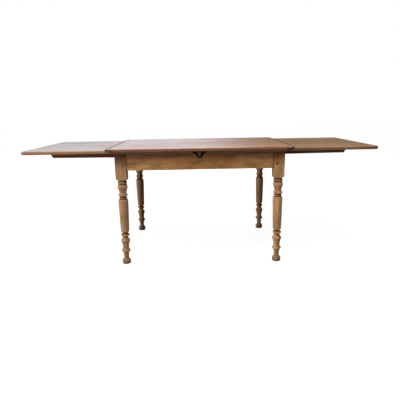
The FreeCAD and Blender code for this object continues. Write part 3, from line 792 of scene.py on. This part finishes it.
@dataclass(frozen=True)
class Finishes:
    """Every finish on the table."""

    top: WoodFinish = WoodFinish(
        "Waxed top pine", "top_wood", light=paint(208, 161, 126), middle=paint(185, 135, 102),
        dark=paint(122, 78, 54), knot=paint(76, 44, 30), worn=paint(206, 158, 128),
        grime=paint(44, 27, 22), side=paint(104, 60, 38), under=paint(138, 108, 80),
        smooth=0.18, rough=0.30, specular=0.6, edge_width=6 * MM, edge_share=0.30,
        end_share=0.95, end_fade=0.6, side_share=0.72, under_share=0.8, stain_share=0.22,
        relief=0.05)
    leaf: WoodFinish = WoodFinish(
        "Waxed leaf pine", "leaf_wood", light=paint(190, 154, 117), middle=paint(166, 129, 94),
        dark=paint(108, 76, 50), knot=paint(70, 46, 31), worn=paint(188, 154, 120),
        grime=paint(48, 31, 23), side=paint(126, 90, 64), under=paint(138, 108, 80),
        smooth=0.20, rough=0.33, specular=0.6, edge_width=6 * MM, edge_share=0.30,
        end_share=0.35, end_fade=0.6, side_share=0.60, under_share=0.8, ring_share=0.2,
        stain_share=0.2, relief=0.03)
    apron: WoodFinish = WoodFinish(
        "Waxed apron pine", "apron_wood", light=paint(224, 169, 112), middle=paint(190, 137, 86),
        dark=paint(104, 66, 36), knot=paint(60, 36, 20), worn=paint(212, 166, 114),
        grime=paint(34, 19, 10), side=paint(150, 106, 64), under=paint(126, 94, 64),
        patina=paint(90, 56, 27), smooth=0.42, rough=0.62, specular=0.25, ring_share=0.35,
        stain_share=0.42, patina_share=0.62, end_share=0.75, end_width=40 * MM)
    leg: WoodFinish = WoodFinish(
        "Waxed leg pine", "leg_wood", light=paint(218, 173, 129), middle=paint(187, 141, 99),
        dark=paint(114, 74, 43), knot=paint(58, 36, 22), worn=paint(236, 198, 152),
        grime=paint(26, 15, 9), side=paint(160, 118, 78), under=paint(126, 94, 64),
        patina=paint(84, 50, 24), smooth=0.45, rough=0.62, specular=0.2, grime_share=0.98,
        edge_share=0.65, heart_depth=30 * MM, patina_share=0.84, scuff_share=0.6,
        ring_share=0.32, stain_share=0.32, pin_share=0.25)
    rail: WoodFinish = WoodFinish(
        "Bare rail pine", "rail_wood", light=paint(162, 106, 60), middle=paint(138, 87, 47),
        dark=paint(84, 46, 22), knot=paint(50, 29, 16), worn=paint(160, 112, 70),
        grime=paint(40, 22, 12), side=paint(94, 60, 38), under=paint(120, 88, 60),
        smooth=0.5, rough=0.7, specular=0.2)
    peg: WoodFinish = WoodFinish(
        "Dark peg wood", "peg_wood", light=paint(160, 120, 100), middle=paint(128, 92, 74),
        dark=paint(60, 38, 27), knot=paint(36, 22, 15), worn=paint(150, 112, 88),
        grime=paint(24, 14, 10), side=paint(70, 48, 36), under=paint(50, 34, 25),
        smooth=0.35, rough=0.5, ring_density=500.0, specular=0.3, grime_share=0.5)
    steel: SteelFinish = SteelFinish()

    def leg_for(self, name: str) -> WoodFinish:
        """Give the finish of one leg: wax has darkened the pegs of the front right one.

        Args:
            name: the leg's name.

        Returns:
            The finish.
        """
        if name == "leg_front_right":
            return replace(self.leg, name="Stained leg pine", pin_share=0.75,
                           light=paint(226, 180, 134), middle=paint(196, 148, 104))
        return self.leg

    def leaf_on(self, body: str) -> WoodFinish:
        """Give the finish of one leaf: the left one's sides are painted paler, as painted light
        from the window on the left, and the right one's darker, as painted shade.

        Args:
            body: the leaf's body.

        Returns:
            The finish.
        """
        # Painted light and shade: paler sides on the left leaf, darker on the right one.
        if body == "leaf_left":
            return replace(self.leaf, name="Paler leaf pine", side=paint(168, 122, 94))
        return replace(self.leaf, side=paint(90, 56, 34))


FINISHES = Finishes()


def dress(node: bpy.types.Object, finish: WoodFinish | SteelFinish, grain: Grain,
          tone: float | None = None) -> None:
    """Give an object one finish all over.

    Args:
        node: the object.
        finish: its finish.
        grain: which way its grain runs.
        tone: how much darker the piece is painted, from 0, mostly up to 1: its own wood's random
            darkness, and on the back left leg also painted shade; taken from its name when left
            out.
    """
    node.data.materials.clear()
    node.data.materials.append(finish.material(grain))
    corners = [Vector(corner) for corner in node.bound_box]
    node[MIDDLE_KEY] = list(sum(corners, Vector()) / len(corners))
    places = [corner[grain.index()] for corner in corners]
    node[REACH_KEY] = (max(places) - min(places)) / 2
    letters = node.name.replace(WORN_PREFIX, "")
    seed = sum(place * ord(letter) for place, letter in enumerate(letters, 1))
    seed = seed % SEED_COUNT / SEED_COUNT
    node[SEED_KEY] = seed
    node[TONE_AND_SHADE_KEY] = seed * TONE_FACTOR % 1 if tone is None else tone


@dataclass(frozen=True)
class Wear:
    """How a board has worn: inward, so that running gaps stay open."""

    arris: float = 1.2 * MM
    joint_arris: float = 0.35 * MM
    cell: float = 30 * MM
    dish: float = 0.25 * MM
    dish_scale: float = 7.0
    chip: float = 0.9 * MM
    chip_scale: float = 23.0
    chip_rarity: float = 1.5
    chip_turn: float = 6.0
    sharp: float = math.radians(30)
    crease: float = math.radians(8)
    flat: float = math.radians(0.5)
    weld: float = 0.005 * MM


@dataclass(frozen=True)
class GlueJoint:
    """A plane where a board is glued to its neighbour, so that nothing wears away there."""

    axis: int
    place: float
    reach: float = 1.0 * MM

    def holds(self, spot: Vector, reach: float = 0.02 * MM) -> bool:
        """Say whether a place lies on the joint.

        Args:
            spot: the place.
            reach: how far off the plane still counts.

        Returns:
            Whether it is on the joint.
        """
        return abs(spot[self.axis] - self.place) < reach


def worn_copy(node: bpy.types.Object, wear: Wear,
              soften: EdgeTest | None = None,
              joints: Sequence[GlueJoint] = ()) -> bpy.types.Object:
    """Copy a rigid piece with softened, slightly uneven edges and faces.

    Args:
        node: the piece as constructed.
        wear: how much it has worn.
        soften: says which sharp edges are rounded; all of them when left out.
        joints: the glued sides, which stay flat and closed.

    Returns:
        The worn piece, in the same place.
    """
    def glued(edge: BMEdge) -> bool:
        """Say whether an edge lies on a glued side."""
        return any(all(joint.holds(vert.co) for vert in edge.verts) for joint in joints)

    def sharp_edges(work: bmesh.types.BMesh, at_joints: bool) -> list[BMEdge]:
        """List the edges to round, at the glued sides or away from them."""
        return [edge for edge in work.edges
                if len(edge.link_faces) == 2 and edge.calc_face_angle() > wear.sharp
                and glued(edge) == at_joints and (soften is None or soften(edge))]

    work = bmesh.new()
    work.from_mesh(node.data)
    bmesh.ops.remove_doubles(work, verts=work.verts, dist=wear.weld)
    bmesh.ops.dissolve_limit(work, angle_limit=wear.flat, verts=work.verts, edges=work.edges)
    for at_joints, width in ((True, wear.joint_arris), (False, wear.arris)):
        bmesh.ops.bevel(work, geom=sharp_edges(work, at_joints), offset=width,
                        offset_type="OFFSET", segments=2, profile=0.5, affect="EDGES",
                        clamp_overlap=True)
    low = Vector(min(vert.co[axis] for vert in work.verts) for axis in range(3))
    high = Vector(max(vert.co[axis] for vert in work.verts) for axis in range(3))
    for axis in range(3):
        count = int((high[axis] - low[axis]) / wear.cell)
        normal = Vector(1.0 if axis == index else 0.0 for index in range(3))
        for step in range(1, count):
            spot = low.lerp(high, step / count)
            bmesh.ops.bisect_plane(work, geom=work.verts[:] + work.edges[:] + work.faces[:],
                                   plane_co=spot, plane_no=normal)
    work.normal_update()
    moves: list[tuple[BMVert, Vector]] = []
    for vert in work.verts:
        spot = vert.co
        turn = max((1 - face.normal.dot(vert.normal) for face in vert.link_faces), default=0.0)
        inward = wear.dish * (0.5 + 0.5 * noise.noise(spot * wear.dish_scale))
        if not any(joint.holds(spot, joint.reach) for joint in joints):
            chipped = max(0.0, noise.noise(spot * wear.chip_scale)) ** wear.chip_rarity
            inward += wear.chip * min(1.0, turn * wear.chip_turn) * chipped
        move = vert.normal * -inward
        for joint in joints:
            if joint.holds(spot):
                move[joint.axis] = 0.0
        moves.append((vert, move))
    for vert, move in moves:
        vert.co += move
    for face in work.faces:
        face.smooth = True
    for edge in work.edges:
        limit = wear.crease if soften is None or soften(edge) else wear.sharp
        edge.smooth = len(edge.link_faces) != 2 or edge.calc_face_angle() < limit
    bmesh.ops.triangulate(work, faces=[face for face in work.faces if len(face.verts) > 4])
    mesh = bpy.data.meshes.new(WORN_PREFIX + node.name)
    work.to_mesh(mesh)
    work.free()
    made = bpy.data.objects.new(WORN_PREFIX + node.name, mesh)
    bpy.context.scene.collection.objects.link(made)
    return made


@dataclass
class Assembly:
    """A group of pieces that rides on one body of the frame."""

    nodes: dict[str, bpy.types.Object]
    body: str
    joint_fit: ClassVar[float] = 0.1 * MM

    def keep(self, name: str, finish: WoodFinish | SteelFinish, grain: Grain) -> None:
        """Show a rigid piece as constructed, with its finish.

        Args:
            name: the node's name.
            finish: its finish.
            grain: which way its grain runs.
        """
        dress(self.nodes[name], finish, grain)
        log.info("kept %s in %s", name, finish.name)

    def box(self, name: str) -> tuple[Vector, Vector]:
        """Give the lowest and highest corners of a node as constructed.

        Args:
            name: the node's name.

        Returns:
            The two corners.
        """
        corners = [vert.co for vert in self.nodes[name].data.vertices]
        return (Vector(min(corner[axis] for corner in corners) for axis in range(3)),
                Vector(max(corner[axis] for corner in corners) for axis in range(3)))

    def glue_joints(self, name: str, panel: Sequence[str]) -> list[GlueJoint]:
        """Find where a board of a panel meets its neighbours face to face.

        Args:
            name: the board.
            panel: every board that is glued up with it.

        Returns:
            The joints, along the first two axes.
        """
        low, high = self.box(name)
        found: list[GlueJoint] = []
        for other in panel:
            if other == name:
                continue
            other_low, other_high = self.box(other)
            for axis in range(2):
                for mine, theirs in ((low, other_high), (high, other_low)):
                    if abs(mine[axis] - theirs[axis]) < self.joint_fit:
                        found.append(GlueJoint(axis, mine[axis]))
        return found

    def wear(self, name: str, finish: WoodFinish, grain: Grain, wear: Wear,
             soften: EdgeTest | None = None,
             tone: float | None = None, panel: Sequence[str] = ()) -> bpy.types.Object:
        """Show a rigid piece as a worn copy.

        Args:
            name: the node's name.
            finish: its finish.
            grain: which way its grain runs.
            wear: how much it has worn.
            soften: says which sharp edges are rounded.
            tone: how much darker the piece is painted, from 0, mostly up to 1: its own wood's
                darkness, and on the back left leg also painted shade.
            panel: the boards that are glued side by side with it.

        Returns:
            The worn piece.
        """
        made = worn_copy(self.nodes[name], wear, soften, self.glue_joints(name, panel))
        dress(made, finish, grain, tone)
        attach(made, self.body)
        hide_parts(name)
        log.info("wore %s: %d faces", name, len(made.data.polygons))
        return made


@dataclass
class FixedFrame(Assembly):
    """Legs, aprons, braces and the board between the leaves."""

    body: str = "frame"
    head_low: float = 0.578
    leg_wear: Wear = Wear(arris=2.5 * MM, cell=40 * MM, dish=0.3 * MM, chip=1.2 * MM)
    apron_wear: Wear = Wear(arris=1.6 * MM)
    # How much darker each leg is painted: the back left leg darkest, as painted shade under the
    # table; the others differ leg by leg.
    leg_tones: dict[str, float] = field(default_factory=lambda: {
        "leg_front_left": 0.78, "leg_front_right": 0.0,
        "leg_back_left": 1.25, "leg_back_right": 0.40})

    def build(self) -> None:
        """Dress every piece of the frame."""
        for name in sorted(self.nodes):
            if name.startswith("leg_"):
                self.wear(name, FINISHES.leg_for(name), Grain.ALONG_Z, self.leg_wear,
                          self.on_head, self.leg_tones[name])
            elif name in ("apron_front", "apron_back"):
                self.wear(name, FINISHES.apron, Grain.ALONG_X, self.apron_wear, tone=0.3)
            elif name in ("apron_left", "apron_right"):
                self.wear(name, FINISHES.apron, Grain.ALONG_Y, self.apron_wear)
            elif name == "draw_pegs":
                self.keep(name, FINISHES.peg, Grain.ALONG_Y)
            elif name == "centre_screws":
                self.keep(name, FINISHES.steel, Grain.ALONG_Z)
            elif name == "centre_board":
                self.keep(name, FINISHES.rail, Grain.ALONG_Y)
            elif name.startswith(("centre_cleat", "corner_brace")):
                self.keep(name, FINISHES.rail, Grain.ALONG_X)

    def on_head(self, edge: BMEdge) -> bool:
        """Say whether an edge lies on a leg's square head."""
        return all(vert.co.z > self.head_low for vert in edge.verts)


@dataclass
class MiddleTop(Assembly):
    """The loose top between the leaves."""

    body: str = "top"
    board_wear: Wear = Wear(arris=0.8 * MM, cell=25 * MM, dish=0.22 * MM, chip=1.4 * MM)

    def build(self) -> None:
        """Dress every piece of the middle top."""
        panel = [name for name in self.nodes if name.startswith("top_board")]
        for name in sorted(self.nodes):
            if name.startswith("top_board"):
                self.wear(name, FINISHES.top, Grain.ALONG_X, self.board_wear, panel=panel)
            elif name.startswith("edge_strip"):
                self.wear(name, FINISHES.top, Grain.ALONG_X, self.board_wear)
            elif name.startswith(("locating_peg", "guide_peg")):
                self.keep(name, FINISHES.peg, Grain.ALONG_Z)


@dataclass
class Leaf(Assembly):
    """One drawn leaf with its bearers."""

    board_wear: Wear = Wear(arris=0.8 * MM, cell=25 * MM, dish=0.22 * MM, chip=1.4 * MM)

    def build(self) -> None:
        """Dress every piece of the leaf."""
        finish = FINISHES.leaf_on(self.body)
        own = sorted(name for name in self.nodes if name.startswith(self.body))
        panel = [name for name in own if "board" in name or name.endswith("_end")]
        for name in own:
            if name in panel:
                grain = Grain.ALONG_Y if name.endswith("_end") else Grain.ALONG_X
                self.wear(name, finish, grain, self.board_wear, panel=panel)
            elif "bearer" in name:
                self.keep(name, FINISHES.rail, Grain.ALONG_X)
            elif name.endswith("screws"):
                self.keep(name, FINISHES.steel, Grain.ALONG_Z)
            elif name.endswith("stop_pegs"):
                self.keep(name, FINISHES.peg, Grain.ALONG_Z)


@dataclass
class Lamp:
    """A soft rectangular lamp."""

    name: str
    place: Place
    aim: Place
    width: float
    height: float
    power: float
    tint: Colour

    def build(self) -> None:
        """Hang the lamp and turn it to what it lights."""
        data = bpy.data.lights.new(self.name, "AREA")
        data.shape = "RECTANGLE"
        data.size = self.width
        data.size_y = self.height
        data.energy = self.power
        data.color = self.tint
        lamp = bpy.data.objects.new(self.name, data)
        lamp.location = self.place
        way = Vector(self.aim) - Vector(self.place)
        lamp.rotation_euler = way.to_track_quat("-Z", "Y").to_euler()
        lamp.visible_glossy = False
        bpy.context.scene.collection.objects.link(lamp)


@dataclass
class Studio:
    """White floor and world, window-like lamps and the photograph's camera."""

    eye: Place = (-0.0122, -2.9782, 0.9865)
    yaw: float = 0.0034
    pitch: float = 0.2154
    roll: float = -0.0170
    focal_share: float = 409.3 / 400
    sensor: float = 36.0
    sight: float = 200.0
    floor_size: float = 40.0
    floor_shade: Colour = (0.30, 0.30, 0.30)
    floor_glow: float = 0.88
    floor_rough: float = 0.9
    floor_specular: float = 0.1
    ambient_window: float = 0.80
    ambient_room: float = 0.04
    window_glare: Colour = (0.84, 0.98, 1.14)
    side_glare: Colour = (0.44, 0.48, 0.52)
    room_glare: Colour = (0.18, 0.155, 0.13)
    ambient_span: Span = (0.55, -0.9)
    glare_span: Span = (0.19, -0.06)
    front_span: Span = (0.30, 0.70)
    lamps: list[Lamp] = field(default_factory=lambda: [
        Lamp("ceiling", place=(-0.3, -1.3, 3.2), aim=(0.0, -0.2, 0.7),
             width=3.0, height=2.0, power=95.0, tint=paint(255, 250, 244)),
        Lamp("window_left", place=(-4.5, -1.2, 1.1), aim=(0.0, -0.2, 0.45),
             width=2.4, height=1.7, power=105.0, tint=paint(255, 250, 242)),
        Lamp("room_behind", place=(0.8, 4.2, 0.9), aim=(0.0, 0.3, 0.45),
             width=2.6, height=1.6, power=52.0, tint=paint(255, 250, 244)),
    ])

    def build(self) -> None:
        """Set the stage."""
        self.camera()
        self.world()
        self.floor()
        for lamp in self.lamps:
            lamp.build()
        bpy.context.scene.view_settings.view_transform = "Standard"

    def camera(self) -> None:
        """Stand the camera where the photograph was taken."""
        data = bpy.data.cameras.new("camera")
        data.sensor_width = self.sensor
        data.lens = self.focal_share * data.sensor_width
        data.clip_end = self.sight
        turn = (math.sin(self.yaw), math.cos(self.yaw))
        forward = Vector((turn[0] * math.cos(self.pitch), turn[1] * math.cos(self.pitch),
                          -math.sin(self.pitch)))
        level = Vector((turn[1], -turn[0], 0.0))
        upright = level.cross(forward)
        right = math.cos(self.roll) * level + math.sin(self.roll) * upright
        up = math.cos(self.roll) * upright - math.sin(self.roll) * level
        matrix = Matrix((right, up, -forward)).transposed().to_4x4()
        matrix.translation = Vector(self.eye)
        camera = bpy.data.objects.new("camera", data)
        camera.matrix_world = matrix
        bpy.context.scene.collection.objects.link(camera)
        bpy.context.scene.camera = camera

    def world(self) -> None:
        """Show white behind the table, light it softly and give its gloss a window."""
        world = bpy.data.worlds.new("studio")
        bpy.context.scene.world = world
        graph = empty_graph(world)
        ray = graph.add("ShaderNodeLightPath")
        way = graph.add("ShaderNodeSeparateXYZ",
                        Vector=graph.add("ShaderNodeTexCoord").outputs["Generated"])
        window = graph.mix(graph.ramp(way.outputs["Y"], *self.front_span), self.side_glare,
                           self.window_glare)
        surround = graph.mix(graph.ramp(way.outputs["X"], *self.glare_span),
                             self.room_glare, window)
        soft = graph.mix(graph.ramp(way.outputs["X"], *self.ambient_span),
                         (self.ambient_room,) * 3, (self.ambient_window,) * 3)
        light = graph.mix(ray.outputs["Is Glossy Ray"], soft, surround)
        seen = graph.math("MAXIMUM", ray.outputs["Is Camera Ray"],
                          ray.outputs["Is Transmission Ray"])
        sky = graph.add("ShaderNodeBackground", Strength=1.0)
        graph.feed(sky, "Color", graph.mix(seen, light, (1.0, 1.0, 1.0)))
        output = graph.add("ShaderNodeOutputWorld")
        graph.feed(output, "Surface", sky.outputs[0])

    def floor(self) -> None:
        """Lay the pale floor, which the camera sees as white paper."""
        mesh = bpy.data.meshes.new("floor")
        half = self.floor_size / 2
        corners = [(-half, -half, 0), (half, -half, 0), (half, half, 0), (-half, half, 0)]
        mesh.from_pydata(corners, [], [(0, 1, 2, 3)])
        floor = bpy.data.objects.new("floor", mesh)
        bpy.context.scene.collection.objects.link(floor)
        paper = bpy.data.materials.new("White paper")
        graph = empty_graph(paper)
        ray = graph.add("ShaderNodeLightPath")
        shader = graph.add("ShaderNodeBsdfPrincipled")
        shader.inputs["Base Color"].default_value = (*self.floor_shade, 1.0)
        shader.inputs["Roughness"].default_value = self.floor_rough
        shader.inputs["Specular IOR Level"].default_value = self.floor_specular
        shader.inputs["Emission Color"].default_value = (1.0, 1.0, 1.0, 1.0)
        graph.feed(shader, "Emission Strength",
                   graph.math("MULTIPLY", ray.outputs["Is Camera Ray"], self.floor_glow))
        output = graph.add("ShaderNodeOutputMaterial")
        graph.feed(output, "Surface", shader.outputs[0])
        mesh.materials.append(paper)


def main() -> None:
    """Build the table's looks and the studio."""
    logging.basicConfig(level=logging.INFO, format="%(name)s: %(message)s")
    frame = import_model()
    Studio().build()
    nodes = frame["nodes"]
    FixedFrame(nodes).build()
    MiddleTop(nodes).build()
    Leaf(nodes, "leaf_left").build()
    Leaf(nodes, "leaf_right").build()
    log.info("the table is dressed")


if __name__ == "__main__":
    main()
